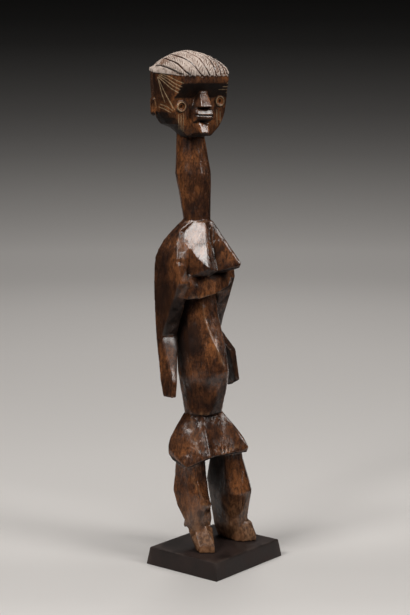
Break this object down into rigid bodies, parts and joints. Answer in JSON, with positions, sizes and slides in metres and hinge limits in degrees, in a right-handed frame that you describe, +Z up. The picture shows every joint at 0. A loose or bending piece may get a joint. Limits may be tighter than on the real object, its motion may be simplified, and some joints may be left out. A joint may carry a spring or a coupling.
{
  "type": "carved wooden figure",
  "caption": "Standing female figure carved from one piece of dark wood, with flat adzed planes, a long neck and rowed hair, on a low painted block plinth.",
  "frame": {"origin": "centre of the plinth's underside", "axes": "+Z up, the plinth's long sides along X, the figure looks along -Y, turned 8 degrees towards -X"},
  "size_m": [0.1092, 0.1186, 0.5213],
  "materials": {
    "figure": "dark red-brown patina, polished on the flats, pale clay in the hair",
    "plinth": "near-black satin paint"
  },
  "bodies": {
    "root": {"figure": "figure", "plinth": "plinth"}
  },
  "joints": []
}
